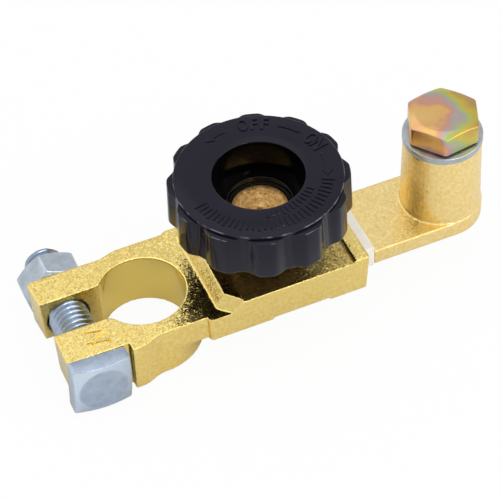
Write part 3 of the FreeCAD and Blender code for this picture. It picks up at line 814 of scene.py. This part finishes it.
# Knob
KNOB_BOTTOM = KNOB_TOP - 9.4
KNOB_CEILING = KNOB_TOP - 2.2
STUD_HOLE_RADIUS = STUD_END_RADIUS + 0.05
RECESS_FLOOR = HUB_BOTTOM + 2.2
RECESS_FLOOR_RADIUS = 8.5
RECESS_GROOVE = RECESS_FLOOR - 0.2
RECESS_RING_TOP = RECESS_FLOOR + 1.0
RECESS_RING_INNER = 6.18
RECESS_RING_OUTER = 6.62
VALLEY_RADIUS = 16.55
LOBE_BOTTOM_RADIUS = 17.7
LOBES = 12
LOBE_PHASE = 11.5
LOBE_CREST_HALF = 3.8
LOBE_FOOT_HALF = 13.4
COLUMNS_PER_LOBE = 36
VALLEY_EDGE = 0.02
CREST_EDGE = 0.16
SKIRT_RADIUS = 14.6
HUB_RADIUS = 10.9
KNOB_SMOOTH_ANGLE = 38.0

RIBS = 6
RIB_WIDTH = 1.6
RIB_OVERLAP = 0.3
RIB_BOTTOM = KNOB_BOTTOM + 0.5
RIB_TOP = KNOB_CEILING + 0.1


def lobe_share(angle):
    """One on a lobe's crest and nought in the valley, with a smooth flank between."""
    pitch = 360.0 / LOBES
    off = abs((math.degrees(angle) - LOBE_PHASE + pitch / 2) % pitch - pitch / 2)
    flank = min(1.0, max(0.0, (off - LOBE_CREST_HALF) / (LOBE_FOOT_HALF - LOBE_CREST_HALF)))
    return 1.0 - flank * flank * (3.0 - 2.0 * flank)


def between(first, second, share):
    return first + (second - first) * share


def knob_profile(angle):
    share = lobe_share(angle)
    return rounded([
        (STUD_HOLE_RADIUS, HUB_BOTTOM, 0.0),
        (STUD_HOLE_RADIUS, RECESS_GROOVE, 0.1),
        (RECESS_RING_INNER, RECESS_GROOVE, 0.1),
        (RECESS_RING_INNER, RECESS_RING_TOP, 0.2),
        (RECESS_RING_OUTER, RECESS_RING_TOP, 0.2),
        (RECESS_RING_OUTER, RECESS_FLOOR, 0.1),
        (RECESS_FLOOR_RADIUS, RECESS_FLOOR, 0.0),
        (RECESS_TOP_RADIUS, KNOB_TOP, 0.25),
        (KNOB_DISC_RADIUS, KNOB_TOP, 0.35),
        (KNOB_DISC_RADIUS, LEDGE, 0.0),
        (between(KNOB_DISC_RADIUS, LOBE_TOP_RADIUS, share), LEDGE, between(VALLEY_EDGE, CREST_EDGE, share)),
        (between(VALLEY_RADIUS, LOBE_BOTTOM_RADIUS, share), KNOB_BOTTOM, 0.45),
        (SKIRT_RADIUS, KNOB_BOTTOM, 0.3),
        (SKIRT_RADIUS, KNOB_CEILING, 0.5),
        (HUB_RADIUS, KNOB_CEILING, 0.5),
        (HUB_RADIUS, HUB_BOTTOM, 0.3),
    ])


def add_knob_ribs(form):
    """The radial ribs that cross the hollow between the hub and the skirt."""
    length = SKIRT_RADIUS - HUB_RADIUS + 2 * RIB_OVERLAP
    shape = Matrix.Diagonal((*(Vector((length, RIB_WIDTH, RIB_TOP - RIB_BOTTOM)) * MM), 1.0))
    out = Matrix.Translation(Vector(((SKIRT_RADIUS + HUB_RADIUS) / 2, 0.0, 0.0)) * MM)
    centre = Matrix.Translation(Vector((STUD_X, 0.0, (RIB_TOP + RIB_BOTTOM) / 2)) * MM)
    for index in range(RIBS):
        turn = Matrix.Rotation(2 * math.pi * index / RIBS, 4, "Z")
        bmesh.ops.create_cube(form, size=1.0, matrix=centre @ turn @ out @ shape)


def make_knob():
    form = polar_form(knob_profile, LOBES * COLUMNS_PER_LOBE, STUD_X, cyclic=True)
    add_knob_ribs(form)
    dress(finish_form(form, "grip", KNOB_SMOOTH_ANGLE), "knob", "black_plastic", "knob")


# Raised marks. Letters on the knob: letter, angle, narrowing.
LETTER_RISE = 0.18
LETTER_SINK = 0.05
LETTER_BEVEL = 0.06
LETTER_RADIUS = 13.6
LETTER_SIZE = 4.4
LETTER_STROKE = 0.05
OFF_LETTERS = (("O", 79.5, 0.60), ("F", 70.9, 0.82), ("F", 62.0, 0.82))
ON_LETTERS = (("O", 19.8, 0.60), ("N", 10.8, 0.66))

# Arrows: radius, start and end angle
ARROWS = ((13.5, 95.4, 115.0), (13.05, 1.1, -26.0))
ARROW_WIDTH = 0.5
ARROW_HEAD_HALF = 1.0
ARROW_HEAD_TURN = 6.5
ARROW_STEPS = 8
BAR = {"radius": LETTER_RADIUS, "width": 0.4, "start": 50.5, "end": 31.4, "steps": 14}

# Rows of ticks: start and end angle, step, length, radius. Each third tick is longer.
TICK_ROWS = ((192.0, 330.0, 4.6, 2.1, 13.2), (256.0, 320.0, 5.4, 1.5, 10.4))
TICK_WIDTH = 0.42
LONG_TICK = 1.25

# The bevel of arrows and ticks, and the least distance to their middle that it reckons with
MARK_BEVEL = 0.04
MARK_CORE = 0.3
MARK_SMOOTH_ANGLE = 25.0

POLE_MARK_PLACE = Vector((-12.1, -7.0, CLAMP_TOP + 0.13))
POLE_MARK_TURN = -101.0
POLE_MARK_SIZE = 6.6
POLE_MARK_STROKE = -0.03
POLE_MARK_NARROWING = 0.74


def letter_mesh(character, size, stroke):
    """One letter lying flat, its middle at the origin and its foot towards -Y."""
    curve = bpy.data.curves.new("letter", "FONT")
    curve.body = character
    curve.size = size * MM
    curve.align_x = "CENTER"
    curve.align_y = "CENTER"
    curve.offset = stroke * MM
    curve.extrude = (LETTER_RISE + LETTER_SINK) / 2 * MM
    curve.bevel_depth = LETTER_BEVEL * MM
    curve.bevel_resolution = 1
    holder = link("letter", curve)
    graph = bpy.context.evaluated_depsgraph_get()
    mesh = bpy.data.meshes.new_from_object(holder.evaluated_get(graph))
    bpy.data.objects.remove(holder)
    return mesh


def add_letter(form, character, angle, narrowing):
    """A letter on the knob's top, its head pointing outwards."""
    mesh = letter_mesh(character, LETTER_SIZE, LETTER_STROKE)
    face = KNOB_TOP + (LETTER_RISE - LETTER_SINK) / 2
    centre = Matrix.Translation(Vector((STUD_X, 0.0, face)) * MM)
    turn = Matrix.Rotation(math.radians(angle - 90.0), 4, "Z")
    out = Matrix.Translation(Vector((0.0, LETTER_RADIUS, 0.0)) * MM)
    mesh.transform(centre @ turn @ out @ Matrix.Diagonal((narrowing, 1.0, 1.0, 1.0)))
    form.from_mesh(mesh)


def add_raised(form, outline):
    """A raised flat shape on the knob's top from (radius, angle) corners."""
    count = len(outline)
    middle_radius = sum(radius for radius, angle in outline) / count
    middle_angle = sum(angle for radius, angle in outline) / count
    rings = []
    for height, inset in ((-LETTER_SINK, 0.0), (LETTER_RISE - MARK_BEVEL, 0.0), (LETTER_RISE, MARK_BEVEL)):
        ring = []
        for radius, angle in outline:
            pull = inset / max(MARK_CORE, abs(radius - middle_radius))
            shown = radius + (middle_radius - radius) * pull
            turn = math.radians(angle + (middle_angle - angle) * inset)
            place = Vector((STUD_X + shown * math.cos(turn), shown * math.sin(turn), KNOB_TOP + height))
            ring.append(form.verts.new(place * MM))
        rings.append(ring)
    for lower, upper in zip(rings, rings[1:]):
        for index in range(count):
            following = (index + 1) % count
            form.faces.new((lower[index], lower[following], upper[following], upper[index]))
    form.faces.new(rings[-1])


def arc_band(radius, width, start, end, steps):
    """The outline of a narrow band along a circle, from one angle to another."""
    angles = [start + (end - start) * step / steps for step in range(steps + 1)]
    outer = [(radius + width / 2, angle) for angle in angles]
    inner = [(radius - width / 2, angle) for angle in reversed(angles)]
    return outer + inner


def arc_arrow(radius, start, end):
    """The outline of an arrow along a circle, its head at the end angle."""
    neck = end - math.copysign(ARROW_HEAD_TURN, end - start)
    shaft = arc_band(radius, ARROW_WIDTH, start, neck, ARROW_STEPS)
    outer, inner = shaft[:ARROW_STEPS + 1], shaft[ARROW_STEPS + 1:]
    head = [(radius + ARROW_HEAD_HALF, neck), (radius, end), (radius - ARROW_HEAD_HALF, neck)]
    return outer + head + inner


def tick(radius, length, angle):
    """The outline of a short bar that points outwards."""
    half = math.degrees(TICK_WIDTH / 2 / radius)
    top, bottom = radius + length / 2, radius - length / 2
    return [(top, angle - half), (top, angle + half), (bottom, angle + half), (bottom, angle - half)]


def make_knob_marks():
    form = bmesh.new()
    for character, angle, narrowing in OFF_LETTERS + ON_LETTERS:
        add_letter(form, character, angle, narrowing)
    for radius, start, end in ARROWS:
        add_raised(form, arc_arrow(radius, start, end))
    add_raised(form, arc_band(**BAR))
    for start, end, step, length, radius in TICK_ROWS:
        for index in range(int((end - start) / step) + 1):
            reach = length if index % 3 else length * LONG_TICK
            add_raised(form, tick(radius, reach, start + step * index))
    dress(finish_form(form, "knob_marks", MARK_SMOOTH_ANGLE), "knob", "black_plastic")


def make_pole_mark():
    """The raised letter for the negative pole on the clamp's front ear."""
    mesh = letter_mesh("N", POLE_MARK_SIZE, POLE_MARK_STROKE)
    place = Matrix.Translation(POLE_MARK_PLACE * MM)
    turn = Matrix.Rotation(math.radians(POLE_MARK_TURN), 4, "Z")
    mesh.transform(place @ turn @ Matrix.Diagonal((POLE_MARK_NARROWING, 1.0, 1.0, 1.0)))
    form = bmesh.new()
    form.from_mesh(mesh)
    dress(finish_form(form, "pole_mark", MARK_SMOOTH_ANGLE), "switch", "plated_brass")


# Stage and light, in metres and watts. Lamps: name, place, size, power.
FLOOR_HALF = 1.5
FLOOR_GAP = 0.0002
FLOOR_GREY = (0.80, 0.80, 0.80, 1.0)
FLOOR_WHITENESS = 0.95
WHITE = (1.0, 1.0, 1.0)
LAMP_AIM = Vector((0.025, 0.0, 0.012))
LAMPS = (
    ("key", (-0.35, 0.25, 0.75), (1.4, 1.4), 2.4),
    ("fill", (0.6, -0.5, 0.55), (0.8, 0.7), 2.5),
    ("glint", (0.12, -0.62, 0.55), (0.14, 0.14), 0.8),
)
SKY = ((0.0, 0.84), (0.28, 0.80), (0.55, 0.72), (0.80, 0.82), (0.97, 0.95))


def make_stage():
    """A pale floor. The camera sees it nearly white, and it keeps some of the shadow."""
    level = CAD_BOX[0][2] - FLOOR_GAP
    corners = [(x * FLOOR_HALF, y * FLOOR_HALF, level) for x, y in ((-1, -1), (1, -1), (1, 1), (-1, 1))]
    mesh = bpy.data.meshes.new("floor")
    mesh.from_pydata(corners, [], [(0, 1, 2, 3)])
    shader = Shader("floor")
    shader.set(Base_Color=FLOOR_GREY, Roughness=0.7)
    white = shader.add("ShaderNodeEmission", {"Color": (*WHITE, 1.0), "Strength": 1.0})
    blend = shader.add("ShaderNodeMixShader")
    shader.feed(blend, 0, shader.times(shader.camera_ray(), FLOOR_WHITENESS))
    shader.feed(blend, 1, shader.surface.outputs[0])
    shader.feed(blend, 2, white.outputs[0])
    shader.feed(shader.tree.nodes["Material Output"], "Surface", blend.outputs[0])
    mesh.materials.append(shader.material)
    link("floor", mesh)


def make_lamps():
    for name, place, size, power in LAMPS:
        lamp = bpy.data.lights.new(name, "AREA")
        lamp.shape = "RECTANGLE"
        lamp.size, lamp.size_y = size
        lamp.energy = power
        holder = link(name, lamp)
        holder.location = place
        holder.rotation_euler = (LAMP_AIM - Vector(place)).to_track_quat("-Z", "Y").to_euler()


def make_world():
    """A soft grey surround by height. The camera sees it white."""
    world = bpy.data.worlds.new("world")
    world.use_nodes = True
    bpy.context.scene.world = world
    nodes = Nodes(world.node_tree)
    direction = nodes.add("ShaderNodeTexCoord").outputs["Generated"]
    height = nodes.add("ShaderNodeSeparateXYZ", {"Vector": direction}).outputs["Z"]
    seen = nodes.mix(nodes.camera_ray(), nodes.greys(height, *SKY), WHITE)
    nodes.feed(world.node_tree.nodes["Background"], "Color", seen)


place_camera()
make_castings_and_insulation()
make_clamp_bolt()
make_clamp_nut()
make_post_bolt()
make_post_washer()
make_stud()
make_contact_washer()
make_knob()
make_knob_marks()
make_pole_mark()
make_stage()
make_lamps()
make_world()

bpy.context.scene.view_settings.view_transform = "Standard"
